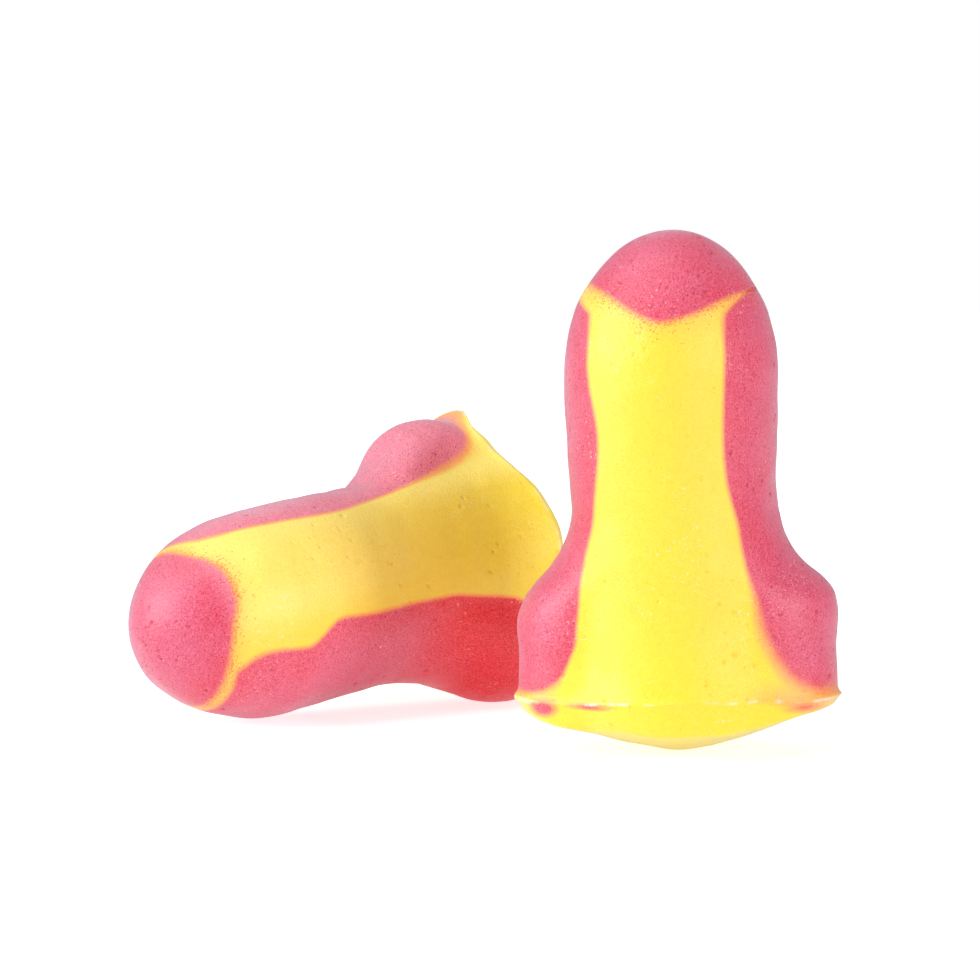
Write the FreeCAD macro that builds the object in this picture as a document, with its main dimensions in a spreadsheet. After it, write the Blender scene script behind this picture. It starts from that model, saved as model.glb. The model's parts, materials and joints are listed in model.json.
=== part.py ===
import FreeCAD, Part
import math
import os

import Sketcher

# A pair of moulded foam ear plugs: one stands on its end, the other lies beside and behind it.
# Both come from the same mould, so one plug form is drawn in its own frame and divided into its
# four foam zones: a yellow core, a pink nose cap and two pink flanks. In the plug's frame Z runs
# from the crowned end to the nose, the wings and flanks lie along X and the yellow panels face Y.

# The driving dimensions, in millimetres and degrees.
SIZES = {
    # the round stem, its yellow flare to the rim and the crowned end that the plug stands on
    "nose_base_height": 18.6,
    "nose_depth": 6.8,
    "stem_radius": 5.17,
    "waist_radius": 5.04,
    "waist_height": 11.4,
    "lobe_flare": 26.0,
    "lobe_reach": 5.6,
    "parting_height": 2.83,
    "edge_round": 2.2,
    "crown_radius": 4.9,
    "crown_height": 1.07,
    "landing_radius": 1.6,
    # the two wings: their thickness, and the slope and rounded edge of their undersides
    "wing_thickness": 7.4,
    "underside_radius": 7.15,
    "underside_height": 1.8,
    "underside_reach": 7.9,
    "underside_round": 1.35,
    # the cap's lower edge dips in the middle of each yellow panel
    "cap_half_width": 4.2,
    "cap_edge_height": 22.65,
    "cap_edge_radius": 6.8,
    # a flank's inner edge, from its tip under the cap down the stem and out along the rim
    "flank_tip_half": 4.2,
    "flank_tip_height": 22.15,
    "flank_top_half": 3.35,
    "flank_top_height": 21.2,
    "flank_waist_radius": 34.0,
    "flank_hip_half": 3.9,
    "flank_hip_height": 9.3,
    "flank_foot_half": 4.75,
    "flank_foot_height": 5.1,
    "flank_sweep_radius": 5.0,
    "flank_rim_half": 7.0,
    # half the size of the blocks that mark the zones, larger than the plug
    "zone_half": 14.0,
    "zone_top": 28.0,
    # how the standing plug is turned about Z
    "standing_turn": -7.4,
    # the lying plug: where its nose points, how far it tips down and how far it has rolled
    "lying_turn": 40.0,
    "lying_tip_down": 8.2,
    "lying_roll": -28.0,
    # a point on the lying plug's axis, and where it lies from the standing plug's axis
    "lying_middle": 12.0,
    "lying_across": -16.4,
    "lying_behind": 14.4,
}

# Points nearer than this are one point, in millimetres.
TOUCHING = 1e-6

# Height and reach of the wings' sections, from the parting line up to where they sink into the
# stem: a nearly straight outer face, a full shoulder and a hollow sweep.
WING_SECTIONS = {
    "rim": (2.83, 7.88),
    "face": (4.4, 7.66),
    "upper_face": (6.4, 7.72),
    "shoulder": (7.5, 7.45),
    "slope": (8.6, 6.6),
    "hollow": (9.7, 5.7),
    "root": (11.6, 4.95),
}

FLANK_CORNERS = [
    ("tip", "flank_tip_half", "flank_tip_height", None),
    ("top", "flank_top_half", "flank_top_height", "-flank_waist_radius"),
    ("hip", "flank_hip_half", "flank_hip_height", None),
    ("foot", "flank_foot_half", "flank_foot_height", "-flank_sweep_radius"),
    ("rim", "flank_rim_half", "parting_height", None),
    ("outer_rim", "zone_half", "parting_height", None),
    ("outer_tip", "zone_half", "flank_tip_height", None),
]

PLUG_NODES = {
    "standing": {"cap": "nose_cap", "minus_x": "left_flank", "plus_x": "right_flank", "core": "core"},
    "lying": {"cap": "nose_cap", "minus_x": "lower_flank", "plus_x": "upper_flank", "core": "core"},
}

doc = FreeCAD.newDocument("foam_ear_plugs")
sheet = doc.addObject("Spreadsheet::Sheet", "sizes")


def fill_sheet():
    """Writes every driving dimension into the sheet, under its own name."""
    rows = dict(SIZES)
    for name, (height, reach) in WING_SECTIONS.items():
        rows["wing_" + name + "_height"] = height
        rows["wing_" + name + "_reach"] = reach
    for number, (name, value) in enumerate(rows.items(), start=1):
        sheet.set("A%d" % number, name)
        sheet.set("B%d" % number, str(value))
        sheet.setAlias("B%d" % number, name)
    doc.recompute()


def size(name):
    return float(sheet.get(name))


def signed(term):
    """The number behind an outline's term: 0, a cell's name, or a cell's name after a minus."""
    if not term:
        return 0.0
    return -size(term[1:]) if term.startswith("-") else size(term)


def formula(term):
    """The same term as an expression on the sheet."""
    return "-sizes." + term[1:] if term.startswith("-") else "sizes." + term


def opposite(term):
    """The same term on the other side of the axis."""
    if not term:
        return term
    return term[1:] if term.startswith("-") else "-" + term


def attach(feature, body, plane, height=None):
    """Sets a feature on one of its body's own origin planes, raised by a height from the sheet."""
    base = [f for f in body.Origin.OriginFeatures if f.Role == plane][0]
    feature.AttachmentSupport = [(base, "")]
    feature.MapMode = "FlatFace"
    if height:
        feature.setExpression(".AttachmentOffset.Base.z", "sizes." + height)


def new_sketch(body, name, plane, height=None):
    sketch = body.newObject("Sketcher::SketchObject", name)
    attach(sketch, body, plane, height)
    doc.recompute()
    return sketch


def bind(sketch, name, expression, *constraint):
    """Adds a constraint whose value follows the sheet."""
    index = sketch.addConstraint(Sketcher.Constraint(*constraint))
    sketch.renameConstraint(index, name)
    sketch.setExpression("Constraints." + name, expression)


def arc_between(start, end, radius):
    """A minor arc. A positive radius bulges to the left of the way from start to end."""
    chord = end - start
    left = FreeCAD.Vector(-chord.y, chord.x, 0).normalize()
    rise = abs(radius) - math.sqrt(radius * radius - chord.Length ** 2 / 4)
    crest = (start + end) * 0.5 + left * math.copysign(rise, radius)
    return Part.Arc(start, crest, end)


def end_at(sketch, edge, place):
    """Which end of an edge lies at a place: 1 is its start and 2 its end."""
    return 1 if sketch.getPoint(edge, 1).isEqual(place, TOUCHING) else 2


def draw_outline(sketch, corners):
    """A closed outline of corners (label, across, up, bend). Bend shapes the edge that leaves the
    corner: None is a straight edge, and a radius bulges left, or right after a minus."""
    places = [FreeCAD.Vector(signed(c[1]), signed(c[2]), 0) for c in corners]
    count = len(corners)
    for n, corner in enumerate(corners):
        start, end, bend = places[n], places[(n + 1) % count], corner[3]
        shape = arc_between(start, end, signed(bend)) if bend else Part.LineSegment(start, end)
        sketch.addGeometry(shape, False)
    for n, (label, across, up, bend) in enumerate(corners):
        last = (n - 1) % count
        here = end_at(sketch, n, places[n])
        before = end_at(sketch, last, places[n])
        sketch.addConstraint(Sketcher.Constraint("Coincident", last, before, n, here))
        for term, axis, kind, side in ((across, -2, "DistanceX", "x"), (up, -1, "DistanceY", "y")):
            if term:
                bind(sketch, label + "_" + side, formula(term), kind, -1, 1, n, here, signed(term))
            else:
                sketch.addConstraint(Sketcher.Constraint("PointOnObject", n, here, axis))
        if bend:
            bind(sketch, label + "_bend", formula(bend.lstrip("-")), "Radius", n, abs(signed(bend)))


def draw_slot(sketch, reach):
    """A round-ended slot along X, centred on the axis: a level section through both wings."""
    half = size("wing_thickness") / 2
    centre = size(reach) - half
    up, right = FreeCAD.Vector(0, half, 0), FreeCAD.Vector(centre, 0, 0)
    tip = FreeCAD.Vector(centre + half, 0, 0)
    sketch.addGeometry(Part.Arc(right - up, tip, right + up), False)
    sketch.addGeometry(Part.LineSegment(right + up, up - right), False)
    sketch.addGeometry(Part.Arc(up - right, -tip, -right - up), False)
    sketch.addGeometry(Part.LineSegment(-right - up, right - up), False)
    for edge in range(4):
        sketch.addConstraint(Sketcher.Constraint("Tangent", edge, 2, (edge + 1) % 4, 1))
    sketch.addConstraint(Sketcher.Constraint("PointOnObject", 0, 3, -1))
    sketch.addConstraint(Sketcher.Constraint("Symmetric", 0, 3, 2, 3, -1, 1))
    bind(sketch, "tip_radius", "sizes.wing_thickness / 2", "Radius", 0, half)
    centre_formula = "sizes.%s - sizes.wing_thickness / 2" % reach
    bind(sketch, "tip_centre", centre_formula, "DistanceX", -1, 1, 0, 3, centre)


def make_plug_form():
    """The whole plug in one piece, as it leaves the mould."""
    body = doc.addObject("PartDesign::Body", "plug_form")
    profile = new_sketch(body, "stem_profile", "XZ_Plane")
    draw_outline(profile, [
        ("foot", 0, 0, None),
        ("landing", "landing_radius", 0, None),
        ("crown", "crown_radius", "crown_height", "-edge_round"),
        ("lobe", "lobe_reach", "parting_height", "lobe_flare"),
        ("waist", "waist_radius", "waist_height", None),
        ("stem", "stem_radius", "nose_base_height", None),
        ("stem_centre", 0, "nose_base_height", None),
    ])
    stem = body.newObject("PartDesign::Revolution", "stem")
    stem.Profile = profile
    stem.ReferenceAxis = (profile, ["V_Axis"])
    doc.recompute()

    nose = body.newObject("PartDesign::AdditiveEllipsoid", "nose")
    attach(nose, body, "XY_Plane", "nose_base_height")
    nose.Angle1 = 0
    nose.setExpression("Radius1", "sizes.nose_depth")
    nose.setExpression("Radius2", "sizes.stem_radius")
    nose.setExpression("Radius3", "sizes.stem_radius")
    doc.recompute()

    sections = []
    for name in WING_SECTIONS:
        section = new_sketch(body, "wing_" + name, "XY_Plane", "wing_" + name + "_height")
        draw_slot(section, "wing_" + name + "_reach")
        sections.append(section)
    wings = body.newObject("PartDesign::AdditiveLoft", "wings")
    wings.Profile = sections[0]
    wings.Sections = sections[1:]
    doc.recompute()

    skirt = body.newObject("PartDesign::Pad", "wing_skirt")
    skirt.Profile = sections[0]
    skirt.Reversed = True
    skirt.setExpression("Length", "sizes.parting_height")
    doc.recompute()

    waste = new_sketch(body, "underside_profile", "XZ_Plane")
    draw_outline(waste, [
        ("landing", "landing_radius", 0, None),
        ("slope", "underside_radius", "underside_height", "-underside_round"),
        ("edge", "underside_reach", "parting_height", None),
        ("outside", "zone_half", "parting_height", None),
        ("below", "zone_half", "-parting_height", None),
        ("under_landing", "landing_radius", "-parting_height", None),
    ])
    before = body.Shape.Volume
    underside = body.newObject("PartDesign::Groove", "underside")
    underside.Profile = waste
    underside.ReferenceAxis = (waste, ["V_Axis"])
    doc.recompute()
    if body.Shape.Volume >= before:
        raise RuntimeError("the underside cuts nothing")
    return body


def make_zone(name, corners):
    """A block that marks one foam zone: an outline seen from the front, right through the plug."""
    body = doc.addObject("PartDesign::Body", name)
    outline = new_sketch(body, name + "_outline", "XZ_Plane")
    draw_outline(outline, corners)
    block = body.newObject("PartDesign::Pad", name + "_block")
    block.Profile = outline
    block.Midplane = True
    block.setExpression("Length", "2 * sizes.zone_half")
    doc.recompute()
    return body


def make_zones():
    mirrored = [(label, opposite(x), z, opposite(bend)) for label, x, z, bend in FLANK_CORNERS]
    cap = make_zone("cap_zone", [
        ("left", "-cap_half_width", "cap_edge_height", "-cap_edge_radius"),
        ("right", "cap_half_width", "cap_edge_height", None),
        ("right_side", "zone_half", "cap_edge_height", None),
        ("right_top", "zone_half", "zone_top", None),
        ("left_top", "-zone_half", "zone_top", None),
        ("left_side", "-zone_half", "cap_edge_height", None),
    ])
    plus_x = make_zone("plus_x_zone", FLANK_CORNERS)
    minus_x = make_zone("minus_x_zone", mirrored)
    return {"cap": cap, "plus_x": plus_x, "minus_x": minus_x}


def split_plug(form, zones, plug):
    """The foam zones of one plug, each an object of its own: {zone: object}."""
    pieces = {}
    for zone, block in zones.items():
        piece = doc.addObject("Part::Common", plug + "_" + PLUG_NODES[plug][zone])
        piece.Base = form
        piece.Tool = block
        pieces[zone] = piece
    waste = doc.addObject("Part::MultiFuse", plug + "_pink_zones")
    waste.Shapes = list(zones.values())
    core = doc.addObject("Part::Cut", plug + "_core")
    core.Base = form
    core.Tool = waste
    pieces["core"] = core
    doc.recompute()
    return pieces


def standing_placement():
    turn = FreeCAD.Rotation(FreeCAD.Vector(0, 0, 1), size("standing_turn"))
    return FreeCAD.Placement(FreeCAD.Vector(0, 0, 0), turn)


def lying_placement(form):
    """The plug on its side: nose to the front left and down, a wing rolled up, lowest point at 0."""
    turn, tip, roll = (math.radians(size("lying_" + n)) for n in ("turn", "tip_down", "roll"))
    level = FreeCAD.Vector(-math.cos(turn), -math.sin(turn), 0)
    nose = level * math.cos(tip) - FreeCAD.Vector(0, 0, math.sin(tip))
    side = FreeCAD.Vector(math.sin(turn), -math.cos(turn), 0)
    top = nose.cross(side)
    wing = top * math.cos(roll) + side * math.sin(roll)
    face = nose.cross(wing)
    matrix = FreeCAD.Matrix(
        wing.x, face.x, nose.x, 0,
        wing.y, face.y, nose.y, 0,
        wing.z, face.z, nose.z, 0,
    )
    place = FreeCAD.Placement(matrix)
    place.Base = FreeCAD.Vector(size("lying_across"), size("lying_behind"), 0)
    place.Base -= nose * size("lying_middle")
    lowest = form.Shape.transformed(place.toMatrix()).optimalBoundingBox(False).ZMin
    place.Base.z -= lowest
    return place


def place_plugs(form, plugs):
    """Sets both plugs on the ground, with the pair's bottom centre at the origin."""
    places = {"standing": standing_placement(), "lying": lying_placement(form)}
    boxes = [form.Shape.transformed(p.toMatrix()).optimalBoundingBox(False) for p in places.values()]
    middle = boxes[0].united(boxes[1]).Center
    shift = FreeCAD.Vector(-middle.x, -middle.y, 0)
    for plug, pieces in plugs.items():
        place = places[plug]
        place.Base += shift
        for piece in pieces.values():
            piece.Placement = place
        print(plug, "plug at", place.Base, "wing axis", place.Rotation.multVec(FreeCAD.Vector(1, 0, 0)),
              "nose axis", place.Rotation.multVec(FreeCAD.Vector(0, 0, 1)))
    doc.recompute()


def check_document():
    for item in doc.Objects:
        if "Invalid" in item.State or "Error" in item.State:
            raise RuntimeError("%s failed: %s" % (item.Label, item.State))


def write_parts(plugs):
    os.makedirs("parts", exist_ok=True)
    for pieces in plugs.values():
        for piece in pieces.values():
            shape = piece.Shape
            if shape.isNull() or not shape.isValid() or len(shape.Solids) != 1:
                raise RuntimeError("%s is not one valid solid" % piece.Label)
            shape.exportStep("parts/" + piece.Label + ".step")
            print(piece.Label, round(shape.Volume, 2), "mm3")


fill_sheet()
plug_form = make_plug_form()
zone_blocks = make_zones()
all_plugs = {plug: split_plug(plug_form, zone_blocks, plug) for plug in PLUG_NODES}
place_plugs(plug_form, all_plugs)
check_document()
write_parts(all_plugs)
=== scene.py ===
import json
import math

import bmesh
import bpy
import numpy as np
from mathutils import Matrix, Vector
from mathutils.kdtree import KDTree


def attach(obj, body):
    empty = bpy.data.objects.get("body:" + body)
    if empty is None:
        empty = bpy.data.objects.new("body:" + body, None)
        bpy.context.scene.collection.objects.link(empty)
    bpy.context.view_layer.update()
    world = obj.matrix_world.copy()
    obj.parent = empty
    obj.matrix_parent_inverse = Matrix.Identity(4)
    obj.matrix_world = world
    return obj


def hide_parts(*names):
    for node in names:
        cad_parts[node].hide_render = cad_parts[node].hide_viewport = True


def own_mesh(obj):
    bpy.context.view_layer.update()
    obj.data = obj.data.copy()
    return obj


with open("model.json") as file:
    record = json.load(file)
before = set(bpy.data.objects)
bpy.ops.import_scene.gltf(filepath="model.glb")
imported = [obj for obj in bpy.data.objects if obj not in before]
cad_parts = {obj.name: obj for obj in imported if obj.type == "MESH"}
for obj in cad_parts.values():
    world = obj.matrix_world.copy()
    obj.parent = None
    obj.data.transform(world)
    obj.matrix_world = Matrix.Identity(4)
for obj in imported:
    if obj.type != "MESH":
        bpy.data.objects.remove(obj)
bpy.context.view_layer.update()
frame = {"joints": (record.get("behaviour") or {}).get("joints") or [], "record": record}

# A pair of two-colour moulded foam ear plugs, one standing and one lying. Each plug is drawn in its
# own frame, in millimetres: Z runs from the crowned end to the nose, the wings and the pink flanks
# lie along X, and the yellow panels face Y. The dense form is then divided into its foam zones.
MM = 0.001
MOUNTS = {mount["name"]: mount for mount in frame["record"]["mounts"]}
JOINTS = {joint["name"]: joint for joint in frame["joints"]}
FOOT = Vector(MOUNTS["standing_face"]["pos_m"])
LENGTH = (Vector(MOUNTS["standing_stem"]["pos_m"]) - FOOT).length / MM
PINCH_TRAVEL = JOINTS["standing_left_pinch"]["range_m"][1]

# The form: height of the parting line, where the nose begins, and the outlines as (height, reach).
# The wings are whole up to one height and have melted into the stem at another.
PARTING = 2.83
NOSE_BASE = 18.6
NOSE_RADIUS = 5.17
WING_HALF_THICKNESS = 3.7
STEM_LINE = [(2.83, 5.62), (4.6, 5.4), (7.6, 5.14), (11.4, 5.04), (14.6, 5.1), (18.6, 5.17)]
WING_LINE = [(2.83, 7.76), (4.5, 7.64), (6.4, 7.74), (7.5, 7.5), (8.3, 6.96), (9.1, 6.15),
             (9.9, 5.58), (10.9, 5.19), (12.0, 5.0)]
WING_FULL, WING_END = 9.0, 12.6
WING_BLEND = 0.55
CROWN_RADIUS = 7.0
CROWN_SLOPE = 0.325

# The rim: its rounded edge, wider where the rim reaches less far, and the bead of flash along it.
EDGE_WIDTH = 0.38
EDGE_WIDENING = 0.14
BEAD_HEIGHT = 0.08
BEAD_WING_HEIGHT = 0.12
BEAD_UNEVENNESS = 0.04
BEAD_LIMITS = (0.03, 0.3)
BEAD_WIDTH = 0.24
BEAD_WANDER, BEAD_WANDER_WIDTH = 0.1, 1.2

# Open cells in the skin: smallest radius and how much larger some are, depth, and the lowest one.
PORE_RADIUS, PORE_SPREAD = 0.05, 0.08
PORE_DEPTH = 0.1
PORE_LOWEST = 1.5

# The colour zones. No two plugs are poured alike, so each has lines of its own: where a yellow
# panel ends on each side, as (height, distance from the axis), and the cap's edge, as (x, height).
PANELS = {
    "standing": {
        "minus_x": [(3.05, 7.25), (3.2, 6.4), (3.8, 5.42), (4.8, 4.87), (5.9, 4.49), (8.0, 4.4),
                    (9.7, 4.07), (11.8, 3.53), (15.5, 3.11), (19.2, 3.63), (21.4, 3.56), (22.1, 4.3)],
        "plus_x": [(2.98, 7.2), (3.12, 6.7), (3.8, 5.8), (4.8, 5.12), (5.9, 4.6), (7.8, 4.01),
                   (9.7, 3.58), (11.7, 3.3), (15.8, 2.88), (19.4, 2.97), (21.4, 2.87), (22.4, 3.6),
                   (22.9, 4.3)],
    },
    "lying": {
        "minus_x": [(2.86, 7.1), (3.0, 6.3), (4.0, 5.0), (5.5, 3.8), (7.3, 3.33), (9.6, 2.84),
                    (11.8, 2.66), (14.3, 2.64), (16.7, 2.49), (19.0, 3.3), (21.4, 3.13),
                    (22.6, 3.4)],
        "plus_x": [(3.0, 7.5), (3.2, 7.1), (3.6, 6.2), (4.05, 5.0), (4.6, 4.38), (5.8, 3.95), (8.0, 3.6),
                   (10.9, 3.24), (13.6, 2.95), (16.8, 3.2), (19.5, 3.5), (21.6, 3.75), (22.4, 4.4)],
    },
}
CAPS = {
    "standing": [(-5.2, 22.88), (-3.7, 22.76), (-2.55, 22.33), (-1.3, 21.65), (-0.1, 21.23),
                 (1.5, 21.6), (2.6, 22.1), (3.55, 22.45), (5.2, 22.68)],
    "lying": [(-5.2, 23.1), (-3.6, 23.0), (-2.5, 22.85), (-1.45, 22.62), (-0.1, 22.1), (1.2, 22.0),
              (2.3, 22.24), (3.3, 22.72), (5.2, 22.9)],
}
FAR_OUTSIDE = -9.0       # the depth in the pink of a point that is nowhere near it
BLOCK = 14.0             # half the size of the blocks that divide a plug, well clear of it

# The mesh: columns round the plug and rows along it, with close rows up to the top of the bead.
COLUMNS = 448
UNDER_ROWS, EDGE_ROWS, BEAD_ROWS, BODY_ROWS, NOSE_ROWS = 44, 20, 14, 220, 96
BEAD_TOP = 3.4

# What each point of the skin knows: its place in the mould, how deep it lies in the pink, how soft
# that edge is, how near the cap's edge it is, how much painted shade (red) and painted sheen (pale)
# it takes, how deep it lies in an open cell, how high on the bead, and which way the finished skin faces
# there.
FIELDS = ("mould", "pink_depth", "softness", "near_cap", "painted_shading", "pore", "bead", "facing")
NEAREST = 4              # how many points of the skin are averaged where a cut makes a new one

# Normals: faces from a cut that are smaller than this (m2) have no sure direction, and a larger
# face takes the whole plug's normal only if it agrees with its own this well (a cosine).
SLIVER = 2e-10
AGREEMENT = 0.6
SHARP_ANGLE = math.radians(52)

# How the plugs change shape: the width a pinch leaves, the standing plug's lean (a slope), and how
# far its crown stands off the smooth one, as (x, height).
PINCH_KEEP = 0.55
STANDING_LEAN = 0.017
STANDING_CROWN = [(-7.5, 0.0), (-5.5, -0.03), (-3.6, 0.08), (-2.0, 0.12), (0.0, 0.0), (2.0, -0.06),
                  (4.0, 0.08), (5.6, 0.22), (8.0, 0.22)]

# The studio: how bright the surround and the floor are, to the plugs and to the eye, and the
# floor's half width (m).
SURROUND_LIGHT, SURROUND_SEEN = 0.3, 1.0
FLOOR_BOUNCE, FLOOR_SEEN = 0.3, 0.72
FLOOR_REACH = 0.32

# The camera: its distance and the width of what it sees there (m), how far it looks down, and the
# place it looks at, from the foot of the standing plug (mm).
VIEW_DISTANCE = 0.28
VIEW_WIDTH = 0.047922
VIEW_RISE = math.radians(5.5)
VIEW_TARGET = Vector((-9.22, 0.0, 12.83))


def smooth_curve(points, at):
    """A smooth curve through a few (x, y) points that never overshoots them, read at some x."""
    x, y = np.array(points, float).T
    step = np.diff(x)
    rise = np.diff(y) / step
    slope = np.zeros(len(x))
    slope[0], slope[-1] = rise[0], rise[-1]
    same = rise[:-1] * rise[1:] > 0
    before, after = rise[:-1][same], rise[1:][same]
    slope[1:-1][same] = 2 * before * after / (before + after)
    at = np.clip(at, x[0], x[-1])
    i = np.clip(np.searchsorted(x, at, side="right") - 1, 0, len(step) - 1)
    t = (at - x[i]) / step[i]
    level = y[i] + (y[i + 1] - y[i]) * t * t * (3 - 2 * t)
    lean = slope[i] * t * (1 - t) ** 2 + slope[i + 1] * t * t * (t - 1)
    return level + lean * step[i]


def smooth_step(low, high, at):
    """Rises smoothly from 0 to 1 between two values, or falls if the first is the higher one."""
    t = np.clip((at - low) / (high - low), 0, 1)
    return t * t * (3 - 2 * t)


def ripples(points, length, seed, count=24):
    """Smooth random waves of about one length in every direction, with a standard height of 1."""
    rng = np.random.default_rng(seed)
    ways = rng.normal(size=(count, 3))
    ways *= 2 * math.pi / length * rng.uniform(0.6, 1.5, (count, 1)) / np.linalg.norm(ways, axis=1)[:, None]
    waves = np.sin(points @ ways.T + rng.uniform(0, 2 * math.pi, count))
    return waves.sum(axis=1) / math.sqrt(count / 2)


def side_reach(angle, height):
    """How far the plug reaches from its axis, at an angle from the wing axis and a height."""
    stem = smooth_curve(STEM_LINE, height)
    centre = smooth_curve(WING_LINE, height) - WING_HALF_THICKNESS
    across, along = np.abs(np.sin(angle)), np.abs(np.cos(angle))
    corner = np.arctan2(WING_HALF_THICKNESS, centre)
    end = centre * along + np.sqrt(np.maximum(WING_HALF_THICKNESS ** 2 - (centre * across) ** 2, 0))
    flat = WING_HALF_THICKNESS / np.maximum(across, 0.05)
    wing = np.where(np.arctan2(across, along) < corner, end, flat)
    blend = WING_BLEND * smooth_step(WING_END, WING_FULL, height)
    joined = (stem + wing + np.sqrt((stem - wing) ** 2 + blend ** 2)) / 2
    return np.where(height > WING_END, stem, np.maximum(joined, stem))


def underside(reach):
    """Height of the crowned end over the ground: a round middle that runs out in a cone."""
    bend = CROWN_RADIUS * CROWN_SLOPE
    middle = reach ** 2 / (2 * CROWN_RADIUS)
    return np.where(reach < bend, middle, bend * CROWN_SLOPE / 2 + CROWN_SLOPE * (reach - bend))


def plug_grid(seed, flash):
    """The plug's skin as rows of points, from the middle of the crowned end to the nose."""
    angle = np.linspace(0, 2 * math.pi, COLUMNS, endpoint=False)[None, :]
    rim = side_reach(angle, np.full_like(angle, PARTING))
    start = rim - EDGE_WIDTH - (rim.max() - rim) * EDGE_WIDENING

    share = np.linspace(0, 1, UNDER_ROWS + 1)[1:, None]
    under_reach = start * share
    turn = np.linspace(0, math.pi / 2, EDGE_ROWS + 1)[1:, None]
    edge_reach = start + (rim - start) * np.sin(turn)
    edge_height = underside(edge_reach) + (PARTING - underside(rim)) * (1 - np.cos(turn))

    height = np.concatenate([
        np.linspace(PARTING, BEAD_TOP, BEAD_ROWS + 1)[1:],
        np.linspace(BEAD_TOP, NOSE_BASE, BODY_ROWS + 1)[1:],
    ])[:, None]
    side = side_reach(angle, np.broadcast_to(height, (len(height), COLUMNS)))
    lift = np.linspace(0, math.pi / 2, NOSE_ROWS + 2)[1:-1, None]
    nose_reach = np.broadcast_to(NOSE_RADIUS * np.cos(lift), (NOSE_ROWS, COLUMNS))
    nose_height = NOSE_BASE + (LENGTH - NOSE_BASE) * np.sin(lift)

    rows = [(under_reach, underside(under_reach)), (edge_reach, edge_height),
            (side, height), (nose_reach, nose_height)]
    reach = np.concatenate([r for r, z in rows])
    z = np.concatenate([np.broadcast_to(z, (len(z), COLUMNS)) for r, z in rows])

    # the flash bead along the parting line stands out unevenly
    line = np.stack([np.cos(angle[0]), np.sin(angle[0]), 0 * angle[0]], axis=1) * rim.T
    wander = BEAD_WANDER * ripples(line, 6.0, seed)
    bead = BEAD_HEIGHT + BEAD_UNEVENNESS * ripples(line, 2.5, seed + 1)
    bead += BEAD_WING_HEIGHT * smooth_step(6.5, 7.8, rim[0])
    z = z + wander * np.exp(-((z - PARTING) / BEAD_WANDER_WIDTH) ** 2)
    ridge = np.exp(-((z - PARTING - wander) / BEAD_WIDTH) ** 2)
    reach = reach + flash * np.clip(bead, *BEAD_LIMITS) * ridge * smooth_step(3.0, 5.0, reach)
    skin = np.stack([reach * np.cos(angle), reach * np.sin(angle), z], axis=-1)
    return skin, ridge


def skin_normals(skin):
    """The outward direction at each point of the rows."""
    round_way = np.roll(skin, -1, axis=1) - np.roll(skin, 1, axis=1)
    up_way = np.gradient(skin, axis=0)
    normal = np.cross(round_way, up_way)
    return normal / np.maximum(np.linalg.norm(normal, axis=-1, keepdims=True), 1e-9)


def press_pores(points, normals, seed, count):
    """Presses small open cells into the skin, in crowds, and returns how deep each point lies."""
    rng = np.random.default_rng(seed)
    tree = KDTree(len(points))
    for i, point in enumerate(points):
        tree.insert(point, i)
    tree.balance()
    depth = np.zeros(len(points))
    crowd = 0.5 + 0.5 * np.tanh(ripples(points, 7.0, seed + 7))
    made = 0
    while made < count:
        at = int(rng.integers(len(points)))
        radius = PORE_RADIUS + PORE_SPREAD * rng.random() ** 3
        keep = rng.random()
        if keep > crowd[at] or points[at][2] < PORE_LOWEST:
            continue
        made += 1
        full = min(1.0, radius / PORE_DEPTH)
        for place, i, gap in tree.find_range(Vector(points[at]), radius * 1.6):
            depth[i] = max(depth[i], math.exp(-((gap / radius) ** 2) * 1.6) * full)
    points -= normals * (depth * PORE_DEPTH)[:, None]
    return depth


def colour_fields(plug, points, stains):
    """How deep each point lies in the pink zones, how soft their edge is there, how near the cap's
    edge it is, and how much painted shade (red) and painted sheen (pale) its colour takes."""
    x, y, z = points.T
    pink = np.full(len(points), FAR_OUTSIDE)
    for side, sign in (("minus_x", -1), ("plus_x", 1)):
        line = PANELS[plug][side]
        slope = (smooth_curve(line, z + 0.05) - smooth_curve(line, z - 0.05)) / 0.1
        flank = (sign * x - smooth_curve(line, z)) / np.sqrt(1 + slope ** 2)
        ends = np.minimum(line[-1][0] - z, z - line[0][0])
        pink = np.maximum(pink, np.minimum(flank, ends))
    cap = (z - smooth_curve(CAPS[plug], x)) * 0.9
    pink = np.maximum(pink, cap)
    for stain_x, face, stain_z, wide, high, strength in stains:
        gap = np.sqrt(((x - stain_x) / wide) ** 2 + ((z - stain_z) / high) ** 2)
        stain = np.where(y * face > 0, (1 - gap) * high * strength, FAR_OUTSIDE)
        pink = np.maximum(pink, stain)

    # the edge is softer at the cap, down by the rim, and low on the plus-x side
    soft = 0.2 + 0.1 * smooth_step(20.0, 21.5, z)
    low = smooth_step(10.0, 5.5, z) * smooth_step(2.0, 4.5, x) * PLUGS[plug]["blur"]
    soft += (low + 0.25 * smooth_step(4.5, 3.2, z)) * smooth_step(2.5, 3.1, z)
    near_cap = np.exp(-np.maximum(-cap, 0) / 0.5) * smooth_step(0.5, 0.1, cap)

    # painted shade and light, on a plug that has them: red painted shade low on its minus-x wing, where it
    # lies in shadow, and a pale painted sheen beyond it and on its plus-x side
    red = smooth_step(13.5, 8.5, z) * smooth_step(-0.5, -3.0, x)
    middle = smooth_step(8.0, 15.0, z) * smooth_step(-3.0, -1.0, x)
    painted_sheen = np.maximum(middle, smooth_step(1.5, 3.5, x))
    painted_sheen = (0.15 + 0.85 * painted_sheen) * smooth_step(23.2, 21.8, z)
    painted_sheen += 0.3 * smooth_step(1.0, 3.5, x) * smooth_step(21.8, 23.2, z)
    painted_shading = PLUGS[plug]["painted_shading_strength"] * np.stack([0.85 * red, 0.6 * painted_sheen, 0 * z], axis=1)
    return pink, soft, near_cap, painted_shading


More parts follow.
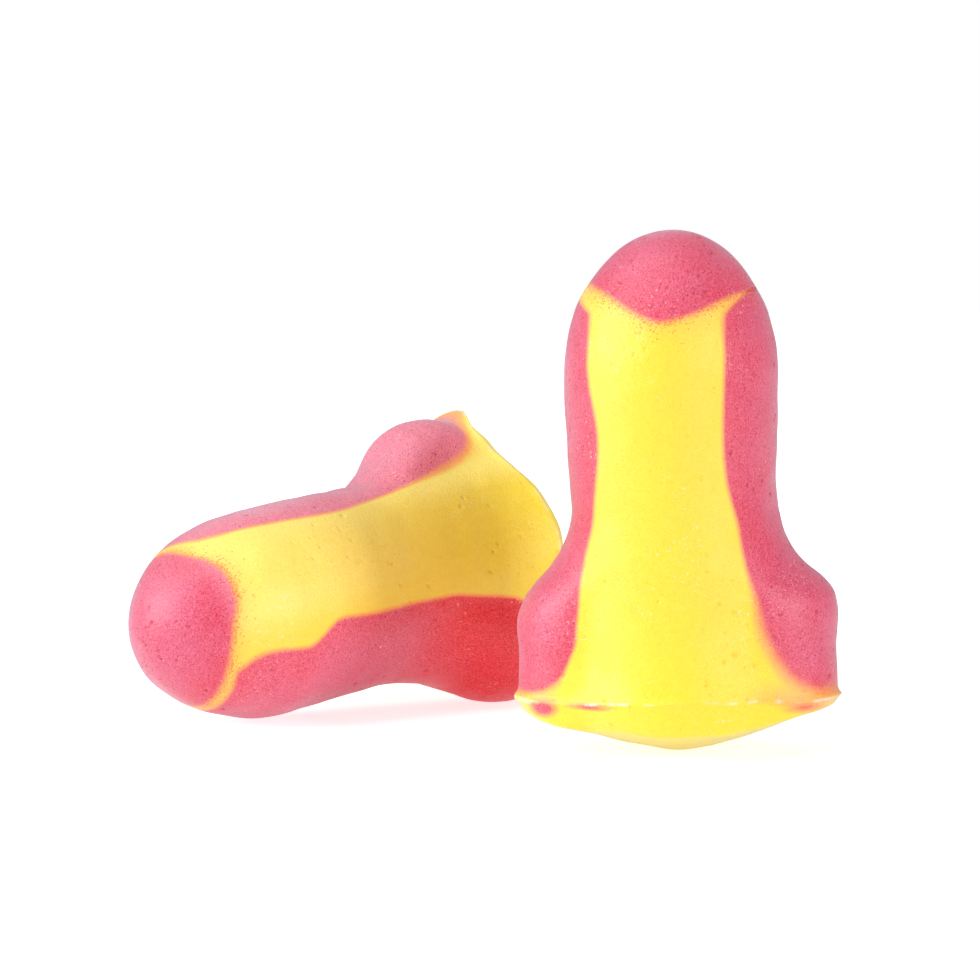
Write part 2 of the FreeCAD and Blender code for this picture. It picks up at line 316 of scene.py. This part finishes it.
def add_field(mesh, name, values):
    """A new point field of a mesh, from one number or one vector for each point."""
    kind = "FLOAT" if values.ndim == 1 else "FLOAT_VECTOR"
    layer = mesh.attributes.new(name, kind, "POINT")
    key = "value" if values.ndim == 1 else "vector"
    layer.data.foreach_set(key, np.ascontiguousarray(values, np.float32).ravel())


def plug_mesh(plug, look):
    """The whole plug as one closed mesh in its own frame, with the fields its material reads."""
    seed = look["seed"]
    skin, ridge = plug_grid(seed, look["flash"])
    rows = len(skin)
    points = skin.reshape(-1, 3)
    normals = skin_normals(skin).reshape(-1, 3)
    ridge = ridge.reshape(-1)

    # the skin is a little uneven all over, and more so at the crowned end
    swell = 0.045 * ripples(points, 9.0, seed + 2) + 0.012 * ripples(points, 2.2, seed + 3)
    swell += 0.06 * ripples(points, 6.0, seed + 4) * smooth_step(4.5, 2.0, points[:, 2])
    points = points + normals * swell[:, None]

    # one more point at each end closes the skin
    points = np.concatenate([points, [[0, 0, points[0, 2] - 0.002], [0, 0, LENGTH]]])
    normals = np.concatenate([normals, [[0, 0, -1], [0, 0, 1]]])
    ridge = np.concatenate([ridge, [0, 0]])
    mould = points.copy()
    pore = press_pores(points, normals, seed + 5, look["pores"])
    pink, soft, near_cap, painted_shading = colour_fields(plug, mould, look["stains"])

    column = np.arange(COLUMNS)
    after = (column + 1) % COLUMNS
    faces = []
    for row in range(rows - 1):
        low, high = row * COLUMNS, (row + 1) * COLUMNS
        faces += np.stack([low + column, low + after, high + after, high + column], axis=1).tolist()
    foot, tip, last = rows * COLUMNS, rows * COLUMNS + 1, (rows - 1) * COLUMNS
    faces += [[foot, b, a] for a, b in zip(column.tolist(), after.tolist())]
    faces += [[last + a, last + b, tip] for a, b in zip(column.tolist(), after.tolist())]
    mesh = bpy.data.meshes.new(plug + "_form")
    mesh.from_pydata(points.tolist(), [], faces)
    facing = shaped_normals(mesh, points, look["shape"])
    for name, values in zip(FIELDS, (mould, pink, soft, near_cap, painted_shading, pore, ridge, facing)):
        add_field(mesh, name, values)
    return mesh


def read_field(mesh, name):
    """A point field of a mesh, as one row of numbers for each point."""
    data = mesh.attributes[name].data
    width, key = (3, "vector") if mesh.attributes[name].data_type == "FLOAT_VECTOR" else (1, "value")
    values = np.empty(len(data) * width, np.float32)
    data.foreach_get(key, values)
    return values.reshape(-1, width)


def fill_fields(mesh, plug, whole, tree):
    """A cut leaves the points it makes without fields. They take those of their place in the mould,
    or the average of the skin's nearest points, where a field isn't worked out from the place."""
    points = read_field(mesh, "position").astype(float)
    new = np.flatnonzero(~read_field(mesh, "mould").any(axis=1))
    found = [tree.find_n(point, NEAREST) for point in points[new]]
    near = np.array([[i for place, i, gap in few] for few in found])
    weight = np.array([[1 / (gap + 1e-4) for place, i, gap in few] for few in found])
    weight /= weight.sum(axis=1, keepdims=True)
    pink, soft, near_cap, painted_shading = colour_fields(plug, points[new], PLUGS[plug]["stains"])
    known = {"mould": points[new], "pink_depth": pink, "softness": soft,
             "near_cap": near_cap, "painted_shading": painted_shading}
    for name in FIELDS:
        values = read_field(mesh, name)
        own = known.get(name)
        if own is None:
            own = (read_field(whole, name)[near] * weight[:, :, None]).sum(axis=1)
        values[new] = own.reshape(len(new), -1)
        key = "vector" if values.shape[1] == 3 else "value"
        mesh.attributes[name].data.foreach_set(key, values.ravel())


def shaped_normals(mesh, points, shape):
    """The outward directions that the whole skin has once the plug's change of shape is made."""
    shaped = points.copy()
    shape(shaped)
    mesh.vertices.foreach_set("co", shaped.astype(np.float32).ravel())
    mesh.update()
    facing = np.empty(len(points) * 3, np.float32)
    mesh.vertex_normals.foreach_get("vector", facing)
    mesh.vertices.foreach_set("co", points.astype(np.float32).ravel())
    mesh.update()
    return facing.reshape(-1, 3)


def keep_normals(mesh, place):
    """Gives a piece's skin the whole plug's normals, so no seam shows where the foam is divided."""
    facing = np.empty(len(mesh.vertices) * 3, np.float32)
    mesh.attributes["facing"].data.foreach_get("vector", facing)
    corner = np.empty(len(mesh.loops), np.int32)
    mesh.loops.foreach_get("vertex_index", corner)
    size = np.empty(len(mesh.polygons), np.int32)
    mesh.polygons.foreach_get("loop_total", size)
    flat = np.empty(len(mesh.polygons) * 3, np.float32)
    mesh.polygons.foreach_get("normal", flat)
    area = np.empty(len(mesh.polygons), np.float32)
    mesh.polygons.foreach_get("area", area)
    turn = np.array(place.to_3x3().normalized())
    wanted = (facing.reshape(-1, 3) @ turn.T)[corner]
    wanted /= np.maximum(np.linalg.norm(wanted, axis=1, keepdims=True), 1e-9)
    own = np.repeat(flat.reshape(-1, 3), size, axis=0)
    agrees = (wanted * own).sum(axis=1) > AGREEMENT
    # a corner that is left at zero keeps the normal it has by itself, as on the seam's flat faces
    wanted[~agrees & np.repeat(area > SLIVER, size)] = 0
    mesh.normals_split_custom_set(wanted.tolist())


def block_mesh(name, outline):
    """A block whose outline is seen from the front, right through the plug."""
    count = len(outline)
    points = [(x, y, z) for y in (-BLOCK, BLOCK) for x, z in outline]
    faces = [[i, (i + 1) % count, count + (i + 1) % count, count + i] for i in range(count)]
    faces += [list(range(count))[::-1], [count + i for i in range(count)]]
    mesh = bpy.data.meshes.new(name)
    mesh.from_pydata(points, [], faces)
    shape = bmesh.new()
    shape.from_mesh(mesh)
    bmesh.ops.recalc_face_normals(shape, faces=shape.faces)
    shape.to_mesh(mesh)
    shape.free()
    return mesh


def zone_blocks(plug):
    """The blocks that mark one plug's cap and its two flanks."""
    line = CAPS[plug]
    x = np.linspace(line[0][0], line[-1][0], 81)
    cap = [(-BLOCK, line[0][1])] + list(zip(x, smooth_curve(line, x)))
    cap += [(BLOCK, line[-1][1]), (BLOCK, 2 * BLOCK), (-BLOCK, 2 * BLOCK)]
    blocks = {"nose_cap": block_mesh("cap_block", cap)}
    for side, sign in (("minus_x", -1), ("plus_x", 1)):
        line = PANELS[plug][side]
        z = np.linspace(line[0][0], line[-1][0], 121)
        flank = list(zip(sign * smooth_curve(line, z), z))
        flank += [(sign * BLOCK, z[-1]), (sign * BLOCK, z[0])]
        blocks[side] = block_mesh(side + "_block", flank)
    return blocks


def cut_piece(name, mesh, tools):
    """A copy of the plug that keeps or loses what lies in each block: tools is (operation, block)."""
    piece = bpy.data.objects.new(name, mesh.copy())
    bpy.context.scene.collection.objects.link(piece)
    for operation, block in tools:
        tool = bpy.data.objects.new("tool", block)
        bpy.context.scene.collection.objects.link(tool)
        cut = piece.modifiers.new("cut", "BOOLEAN")
        cut.operation, cut.object, cut.solver = operation, tool, "MANIFOLD"
        bpy.context.view_layer.update()
        graph = bpy.context.evaluated_depsgraph_get()
        result = bpy.data.meshes.new_from_object(
            piece.evaluated_get(graph), preserve_all_data_layers=True, depsgraph=graph)
        piece.modifiers.clear()
        piece.data = result
        bpy.data.objects.remove(tool)
    piece.data.name = name
    return piece


# ---- material: node helpers


def add(tree, kind, values=(), **settings):
    """A shader node with its settings, and with the values or sockets that feed its inputs."""
    node = tree.nodes.new("ShaderNode" + kind)
    for key, value in settings.items():
        setattr(node, key, value)
    for key, value in dict(values).items():
        if isinstance(value, bpy.types.NodeSocket):
            tree.links.new(value, node.inputs[key])
        else:
            node.inputs[key].default_value = value
    return node


def field(tree, name, output="Fac"):
    """A point field of the mesh, as a number or a vector."""
    return add(tree, "Attribute", attribute_name=name).outputs[output]


def maths(tree, operation, a, b=0.0, clamp=False):
    """One sum of two numbers or sockets."""
    return add(tree, "Math", {0: a, 1: b}, operation=operation, use_clamp=clamp).outputs[0]


def eased(tree, value, low, high, start=0.0, end=1.0):
    """Takes a value from one range to another, smoothly, and holds it at both ends."""
    inputs = {"Value": value, "From Min": low, "From Max": high, "To Min": start, "To Max": end}
    return add(tree, "MapRange", inputs, interpolation_type="SMOOTHSTEP").outputs[0]


def mixed(tree, factor, a, b):
    """One colour turned into another by a factor."""
    return add(tree, "Mix", {0: factor, 6: a, 7: b}, data_type="RGBA").outputs[2]


def noise(tree, place, per_mm, detail=2.0):
    """A soft random pattern around 0.5, of some repeats per millimetre."""
    inputs = {"Vector": place, "Scale": per_mm, "Detail": detail}
    return add(tree, "TexNoise", inputs).outputs["Fac"]


def dots(tree, place, per_mm, share, radius):
    """Small round spots, one to a cell in a share of the cells of a random pattern. Their radius is
    a share of the cell's size."""
    cells = add(tree, "TexVoronoi", {"Vector": place, "Scale": per_mm})
    chance = add(tree, "SeparateColor", {"Color": cells.outputs["Color"]}).outputs["Red"]
    chosen = maths(tree, "LESS_THAN", chance, share)
    spot = eased(tree, cells.outputs["Distance"], radius * 0.5, radius, 1.0, 0.0)
    return maths(tree, "MULTIPLY", chosen, spot)


def rgb(red, green, blue):
    """A display colour, 0 to 255, as the linear colour a shader takes."""
    linear = [v / 12.92 if v <= 0.04045 else ((v + 0.055) / 1.055) ** 2.4
              for v in (red / 255, green / 255, blue / 255)]
    return (*linear, 1.0)


# the yellow turns to lemon towards the crowned end; the pale colours are a painted sheen and the red is
# painted shade
YELLOW = rgb(238, 209, 50)
LEMON = rgb(234, 214, 38)
PAINTED_SHEEN_YELLOW = rgb(252, 237, 126)
AMBER = rgb(244, 170, 80)
PINK = rgb(186, 84, 115)
CRIMSON = rgb(190, 46, 74)
PAINTED_SHEEN_PINK = rgb(224, 148, 166)
PAINTED_SHADE_RED = rgb(210, 20, 28)
# painted shade inside open cells
PINK_PORE_SHADE = rgb(134, 18, 48)
YELLOW_PORE_SHADE = rgb(206, 150, 30)
SPECK = rgb(186, 80, 60)
# the near-white of painted highlights: glints and the bead's crest
PAINTED_HIGHLIGHT = rgb(252, 232, 222)
# painted glow: an emission that keeps both colours bright in shade
YELLOW_PAINTED_GLOW = (0.16, 0.06, 0.0, 1.0)
PINK_PAINTED_GLOW = (0.25, 0.0, 0.003, 1.0)
COOL_SHEEN = (0.45, 0.85, 1.0, 1.0)

# patterns in the foam, in repeats per millimetre, and the way the finest one is turned so that it
# doesn't line up with the mould
GRAIN, BLUR, CLOUD = 12.0, 3.2, 0.45
GRAIN_AXIS, GRAIN_TURN = (0.3, 0.5, 0.8), 1.1
GRAIN_RELIEF = 0.00006   # metres


def edge_specks(tree, place, near):
    """Specks of pink foam in the yellow, thick along the cap's edge and thin away from it."""
    thick = eased(tree, noise(tree, place, 0.4, 1.0), 0.35, 0.55, 1.0, 1.8)
    share = maths(tree, "MULTIPLY", maths(tree, "POWER", near, 2.4), thick)
    small, large = dots(tree, place, 9.5, share, 0.5), dots(tree, place, 6.0, share, 0.36)
    return maths(tree, "MAXIMUM", small, large)


def painted_glints(tree, place, blur):
    """Painted glints on the skin: tiny pale flecks and single sparks of highlight, in patches."""
    patches = eased(tree, noise(tree, place, 0.3, 1.0), 0.5, 0.65)
    flecks = eased(tree, noise(tree, place, 7.0, 0.5), 0.66, 0.76)
    sparks = dots(tree, place, 4.4, maths(tree, "MULTIPLY", patches, 0.2), 0.17)
    glints = maths(tree, "MAXIMUM", maths(tree, "MULTIPLY", flecks, patches), sparks)
    return maths(tree, "MULTIPLY", glints, eased(tree, blur, 0.4, 0.6, 0.1, 0.6))


def painted_crest_highlight(tree, place):
    """Where a painted highlight lies along the crest of the flash bead, here and there along it."""
    crest = eased(tree, field(tree, "bead"), 0.8, 1.0)
    highlight_patches = eased(tree, noise(tree, place, 1.3, 2.0), 0.48, 0.64, 0.0, 0.65)
    return maths(tree, "MULTIPLY", crest, highlight_patches)


def make_foam(name, seed):
    """Slow-recovery foam in two colours. Its skin has a dull shine and fine open cells with painted
    shade inside, and where the two colours were poured together they meet in a soft orange edge with dark
    specks. It carries painted glints, red painted shade, a pale painted sheen, and a painted glow, the pink
    in red, that keeps both colours bright in shade."""
    material = bpy.data.materials.new(name)
    material.use_nodes = True
    tree = material.node_tree
    tree.nodes.clear()
    mould = field(tree, "mould", "Vector")
    place = add(tree, "VectorMath", {0: mould, 1: (seed, seed * 2.0, 0.0)}, operation="ADD").outputs[0]
    height = add(tree, "SeparateXYZ", {0: mould}).outputs["Z"]
    turned = add(tree, "VectorRotate", {"Vector": place, "Axis": GRAIN_AXIS, "Angle": GRAIN_TURN})
    grain = noise(tree, turned.outputs[0], GRAIN, 3.0)
    blur = noise(tree, place, BLUR)
    cloud = noise(tree, place, CLOUD)
    uneven = maths(tree, "SUBTRACT", grain, 0.5)

    # how pink: the edge wanders a little and dissolves into grain
    ragged = maths(tree, "MULTIPLY", uneven, 0.55)
    drift = maths(tree, "MULTIPLY", maths(tree, "SUBTRACT", blur, 0.5), 0.35)
    soft = field(tree, "softness")
    depth = maths(tree, "ADD", field(tree, "pink_depth"), maths(tree, "MULTIPLY", ragged, soft))
    depth = maths(tree, "ADD", depth, maths(tree, "MULTIPLY", drift, soft))
    inner = maths(tree, "MULTIPLY", soft, -1.0)
    pinkness = eased(tree, depth, inner, soft)

    # the dyes: yellow, then amber where it meets the pink, then the pink; a pale painted sheen lies on both
    # colours and red painted shade lies on the pink
    near = field(tree, "near_cap")
    painted_shading = add(tree, "SeparateXYZ", {0: field(tree, "painted_shading", "Vector")})
    painted_sheen = painted_shading.outputs["Y"]
    yellow = mixed(tree, eased(tree, height, 9.0, 1.0), YELLOW, LEMON)
    yellow = mixed(tree, painted_sheen, yellow, PAINTED_SHEEN_YELLOW)
    yellow = mixed(tree, maths(tree, "MULTIPLY", near, 0.6), yellow, AMBER)
    deep = eased(tree, depth, 0.1, 1.8, 0.55, 0.1)
    deep = maths(tree, "ADD", deep, eased(tree, cloud, 0.35, 0.7, -0.1, 0.2), clamp=True)
    pink = mixed(tree, painted_sheen, mixed(tree, deep, PINK, CRIMSON), PAINTED_SHEEN_PINK)
    pink = mixed(tree, painted_shading.outputs["X"], pink, PAINTED_SHADE_RED)
    low = mixed(tree, eased(tree, pinkness, 0.02, 0.5), yellow, AMBER)
    colour = mixed(tree, eased(tree, pinkness, 0.4, 1.0), low, pink)

    # specks of pink foam, only in the yellow
    in_yellow = eased(tree, pinkness, 0.98, 0.7)
    specks = maths(tree, "MULTIPLY", edge_specks(tree, place, near), in_yellow)
    colour = mixed(tree, maths(tree, "MULTIPLY", specks, 0.8), colour, SPECK)

    # open cells get painted shade inside, and the finest ones are only that painted shade, with no dent
    fine = dots(tree, place, 3.2, 0.55, 0.22)
    cells = maths(tree, "MAXIMUM", field(tree, "pore"), maths(tree, "MULTIPLY", fine, 0.75))
    pore_shade_colour = mixed(tree, pinkness, YELLOW_PORE_SHADE, PINK_PORE_SHADE)
    pore_shade_mask = maths(tree, "MULTIPLY", cells, eased(tree, pinkness, 0.0, 1.0, 0.25, 0.8))
    colour = mixed(tree, pore_shade_mask, colour, pore_shade_colour)

    # painted highlights: glints in patches, and a highlight along the bead's crest
    colour = mixed(tree, painted_glints(tree, place, blur), colour, PAINTED_HIGHLIGHT)
    colour = mixed(tree, painted_crest_highlight(tree, place), colour, PAINTED_HIGHLIGHT)

    # mottling in the skin itself, stronger in the pink: brighter spots are also less saturated
    speckle = maths(tree, "MULTIPLY", uneven, eased(tree, pinkness, 0.0, 1.0, 0.16, 1.3))
    tone = maths(tree, "ADD", eased(tree, blur, 0.2, 0.8, 0.97, 1.03), speckle)
    strength = maths(tree, "SUBTRACT", 1.0, maths(tree, "MULTIPLY", speckle, 0.45))
    inputs = {"Saturation": strength, "Value": tone, "Color": colour}
    colour = add(tree, "HueSaturation", inputs).outputs["Color"]

    shape = maths(tree, "ADD", grain, maths(tree, "MULTIPLY", blur, 0.4))
    bump = add(tree, "Bump", {"Strength": 0.6, "Distance": GRAIN_RELIEF, "Height": shape})
    shine = eased(tree, grain, 0.3, 0.7, 0.26, 0.5)
    # painted glow: emission that keeps the colours bright in shade
    painted_glow = mixed(tree, pinkness, YELLOW_PAINTED_GLOW, PINK_PAINTED_GLOW)
    surface = add(tree, "BsdfPrincipled", {
        "Base Color": colour, "Roughness": shine, "Specular IOR Level": 0.7,
        "Sheen Weight": 0.5, "Sheen Roughness": 0.4, "Sheen Tint": COOL_SHEEN,
        "Normal": bump.outputs["Normal"],
        "Emission Color": painted_glow, "Emission Strength": 1.0})
    output = add(tree, "OutputMaterial")
    tree.links.new(surface.outputs[0], output.inputs["Surface"])
    return material


def plug_place(plug):
    """The matrix from a plug's own frame, in millimetres, to the row frame in metres."""
    stem = MOUNTS[plug + "_stem"]
    nose = Vector(stem["axis"]).normalized()
    wing = Vector(JOINTS[PLUGS[plug]["pinch"]]["axis"])
    wing = (wing - nose * wing.dot(nose)).normalized()
    turn = Matrix((wing, nose.cross(wing), nose)).transposed().to_4x4()
    base = Vector(stem["pos_m"]) - nose * LENGTH * MM
    return Matrix.Translation(base) @ turn @ Matrix.Scale(MM, 4)


def lean_over(points):
    """The standing plug leans a little to its left, on its rounded end."""
    x, z = points[:, 0].copy(), points[:, 2].copy()
    shoulder = smooth_step(6.0, 8.2, z) * smooth_step(13.5, 11.0, z)
    wing_end = smooth_step(5.0, 7.2, x) + smooth_step(6.0, 7.0, x) * smooth_step(5.5, 4.0, z)
    wing_top = smooth_step(5.0, 6.5, x) * smooth_step(5.0, 7.0, z) * smooth_step(11.0, 9.0, z)
    neck = smooth_step(13.0, 17.0, z) * smooth_step(24.0, 21.0, z)
    crown = smooth_step(2.6, 1.8, z)
    points[:, 0] += (0.17 + 0.05 * np.sign(x)) * shoulder - 0.12 * smooth_step(7.0, 11.0, z)
    points[:, 0] += 0.12 * wing_end + 0.01 * x * neck
    points[:, 0] += 0.05 * smooth_step(17.0, 21.0, z) - STANDING_LEAN * z
    points[:, 2] += smooth_curve(STANDING_CROWN, x) * crown + 0.004 * z + 0.1 * wing_top
    points[:, 2] += STANDING_LEAN * x * smooth_step(20.0, 8.0, z)


def settle(points):
    """The lying plug is pressed a little out of shape: its wings sit nearer the crowned end, which
    is flattened, and the tip of its upper rim is bent back."""
    x, y, z = points.T.copy()
    up_wing = smooth_step(4.0, 6.6, x) * smooth_step(12.5, 9.0, z)
    low_wing = smooth_step(4.0, 6.6, -x) * smooth_step(12.5, 9.0, z)
    belly = smooth_step(-1.0, -4.5, x) * smooth_step(9.0, 13.0, z) * smooth_step(21.5, 18.0, z)
    back = smooth_step(3.5, 1.0, np.abs(x)) * smooth_step(6.0, 3.0, z)
    neck = smooth_step(4.0, 5.0, x) * np.exp(-((z - 10.3) / 0.65) ** 2)
    tip = np.exp(-((x - 7.5) / 0.9) ** 2 - ((y + 2.1) / 1.1) ** 2 - ((z - PARTING) / 0.6) ** 2)
    points[:, 0] += 0.12 * smooth_step(10.2, 12.8, z) + 0.05 * smooth_step(19.0, 24.5, z)
    points[:, 0] += 0.12 * tip - 0.32 * belly - 0.28 * neck
    points[:, 0] -= up_wing * (0.08 + 0.32 * smooth_step(5.5, 3.5, z))
    points[:, 0] -= 0.26 * low_wing * smooth_step(8.0, 5.0, z)
    points[:, 2] -= (1.32 * up_wing + 1.4 * low_wing) * smooth_step(2.4, 6.5, z)
    points[:, 2] += np.clip(PARTING - z, 0, None) * 0.6 - 0.38 * back - 0.65 * tip
    tilt = smooth_step(1.0, 4.0, x) * smooth_step(7.0, 5.5, x) - smooth_step(0.5, -2.5, x)
    points[:, 2] += 0.15 * tilt * smooth_step(4.5, 2.5, z) - 0.14 * smooth_step(20.0, 25.0, z)
    points[:, :2] *= 1 - 0.022 * smooth_step(16.0, 21.0, z)[:, None]


def set_down(piece, place, shape):
    """Takes a piece to its place, with the small change of shape that its plug has there."""
    mesh = piece.data
    points = np.empty(len(mesh.vertices) * 3, np.float32)
    mesh.vertices.foreach_get("co", points)
    points = points.reshape(-1, 3).astype(float)
    shape(points)
    matrix = np.array(place)
    points = points @ matrix[:3, :3].T + matrix[:3, 3]
    mesh.vertices.foreach_set("co", points.astype(np.float32).ravel())
    mesh.update()


# ---- the two plugs

# (x, which face, z, half width, half height, strength) of pink stains in the yellow rim
STANDING_STAINS = [(-6.25, -1, 2.5, 0.65, 0.4, 0.75), (-3.85, -1, 2.68, 0.85, 0.14, 1.4),
                   (6.4, -1, 2.5, 0.55, 0.28, 0.38)]
LYING_STAINS = [(5.0, 1, 2.3, 0.6, 0.2, 0.8), (-5.6, -1, 2.4, 0.5, 0.25, 0.8)]

# how many open cells, how much flash, how soft the low pink edge, how much painted shade and sheen;
# then what it rides on, and for each side the flank's node, its body and its joint
PLUGS = {
    "standing": {
        "seed": 11, "pores": 420, "flash": 1.0, "blur": 0.5, "painted_shading_strength": 0.0,
        "stains": STANDING_STAINS, "shape": lean_over,
        "pinch": "standing_left_pinch", "body": "standing_plug",
        "minus_x": ("left_flank", "standing_left_side", "standing_left_pinch"),
        "plus_x": ("right_flank", "standing_right_side", "standing_right_pinch"),
    },
    "lying": {
        "seed": 47, "pores": 420, "flash": 0.6, "blur": 0.5, "painted_shading_strength": 1.0,
        "stains": LYING_STAINS, "shape": settle,
        "pinch": "lying_lower_pinch", "body": "lying_plug",
        "minus_x": ("lower_flank", "lying_lower_side", "lying_lower_pinch"),
        "plus_x": ("upper_flank", "lying_upper_side", "lying_upper_pinch"),
    },
}


def finish_piece(piece, node, body, materials, place):
    """Gives a piece its finish, hangs it on what it rides on, and hides the imported part it stands for."""
    mesh = piece.data
    mesh.materials.clear()
    slot = "yellow_foam" if node.endswith("core") else "pink_foam"
    mesh.materials.append(materials[slot])
    mesh.shade_smooth()
    mesh.set_sharp_from_angle(angle=SHARP_ANGLE)
    keep_normals(mesh, place)
    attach(piece, body)
    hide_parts(node)
    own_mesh(piece)


def make_plug(plug):
    """One plug in its place: the whole form is made, and each piece is cut from a copy of it."""
    look = PLUGS[plug]
    blocks = zone_blocks(plug)
    whole = plug_mesh(plug, look)
    place = plug_place(plug)
    materials = {
        "yellow_foam": make_foam(plug + "_yellow_foam", look["seed"]),
        "pink_foam": make_foam(plug + "_pink_foam", look["seed"]),
    }
    # each piece has an anchor, a flank's out to its side, so that the whole plug would narrow evenly about
    # its middle as it flattened; nothing here uses the anchors or the joints
    offset = PINCH_TRAVEL / MM / (1 - PINCH_KEEP)
    middle = Vector((0, 0, 0))
    plan = [(plug + "_core", look["body"], look["pinch"], middle,
             [("DIFFERENCE", block) for block in blocks.values()]),
            (plug + "_nose_cap", look["body"], look["pinch"], middle,
             [("INTERSECT", blocks["nose_cap"])])]
    for side, sign in (("minus_x", -1), ("plus_x", 1)):
        node, body, joint = look[side]
        plan.append((plug + "_" + node, body, joint, Vector((sign * offset, 0, 0)),
                     [("INTERSECT", blocks[side])]))
    tree = KDTree(len(whole.vertices))
    for i, point in enumerate(read_field(whole, "position")):
        tree.insert(point, i)
    tree.balance()
    for node, body, joint, anchor, tools in plan:
        piece = cut_piece(node + "_foam", whole, tools)
        fill_fields(piece.data, plug, whole, tree)
        set_down(piece, place, look["shape"])
        finish_piece(piece, node, body, materials, place)
    bpy.data.meshes.remove(whole)


def seen_light(tree, others, camera):
    """One strength for what the camera sees straight on, and another for what lights the object."""
    seen = add(tree, "LightPath").outputs["Is Camera Ray"]
    return add(tree, "MapRange", {"Value": seen, "To Min": others, "To Max": camera}).outputs[0]


def make_stage():
    """A pale floor in a plain white surround."""
    mesh = bpy.data.meshes.new("floor")
    corners = [(x * FLOOR_REACH, y * FLOOR_REACH, 0) for x, y in ((-1, -1), (1, -1), (1, 1), (-1, 1))]
    mesh.from_pydata(corners, [], [[0, 1, 2, 3]])
    floor = bpy.data.objects.new("floor", mesh)
    bpy.context.scene.collection.objects.link(floor)
    material = bpy.data.materials.new("pale_floor")
    material.use_nodes = True
    tree = material.node_tree
    surface = tree.nodes["Principled BSDF"]
    surface.inputs["Base Color"].default_value = (0.8, 0.8, 0.8, 1)
    surface.inputs["Roughness"].default_value = 0.9
    surface.inputs["Specular IOR Level"].default_value = 0.1
    surface.inputs["Emission Color"].default_value = (1, 1, 1, 1)
    tree.links.new(seen_light(tree, FLOOR_BOUNCE, FLOOR_SEEN), surface.inputs["Emission Strength"])
    mesh.materials.append(material)

    world = bpy.data.worlds.new("surround")
    world.use_nodes = True
    tree = world.node_tree
    background = tree.nodes["Background"]
    background.inputs["Color"].default_value = (1, 1, 1, 1)
    tree.links.new(seen_light(tree, SURROUND_LIGHT, SURROUND_SEEN), background.inputs["Strength"])
    bpy.context.scene.world = world


def add_lamp(name, way, distance, size, power):
    """A square softbox that faces the pair from a direction."""
    lamp = bpy.data.lights.new(name, "AREA")
    lamp.size = size
    lamp.energy = power
    holder = bpy.data.objects.new(name, lamp)
    back = Vector(way).normalized()
    holder.location = Vector((0, 0, LENGTH * MM / 2)) + back * distance
    holder.rotation_euler = back.to_track_quat("Z", "Y").to_euler()
    bpy.context.scene.collection.objects.link(holder)


def make_lights():
    """Soft light from the left and above, and a small bright box at each side for the edges."""
    add_lamp("left_key", (-0.93, -0.19, 0.27), 0.5, 0.09, 1.2)
    add_lamp("left_softbox", (-0.8, -0.3, 0.5), 0.5, 0.45, 1.0)
    add_lamp("right_key", (0.67, -0.69, 0.28), 0.5, 0.09, 1.02)
    add_lamp("top_softbox", (-0.3, -0.15, 1.0), 0.6, 0.5, 1.42)


def make_camera():
    """Looks along +Y from a little above the floor, with both plugs in view."""
    camera = bpy.data.cameras.new("camera")
    camera.lens = camera.sensor_width * VIEW_DISTANCE / VIEW_WIDTH
    camera.clip_start, camera.clip_end = 0.01, 20.0
    holder = bpy.data.objects.new("camera", camera)
    back = Vector((0, -math.cos(VIEW_RISE), math.sin(VIEW_RISE)))
    holder.location = FOOT + VIEW_TARGET * MM + back * VIEW_DISTANCE
    holder.rotation_euler = back.to_track_quat("Z", "Y").to_euler()
    bpy.context.scene.collection.objects.link(holder)
    bpy.context.scene.camera = holder


def set_colours():
    """Shows the colours as they are, with no film look over them."""
    view = bpy.context.scene.view_settings
    view.view_transform = "Standard"
    view.look = "None"
    view.exposure = 0.0
    view.gamma = 1.0


for plug_name in PLUGS:
    make_plug(plug_name)
make_stage()
make_lights()
make_camera()
set_colours()
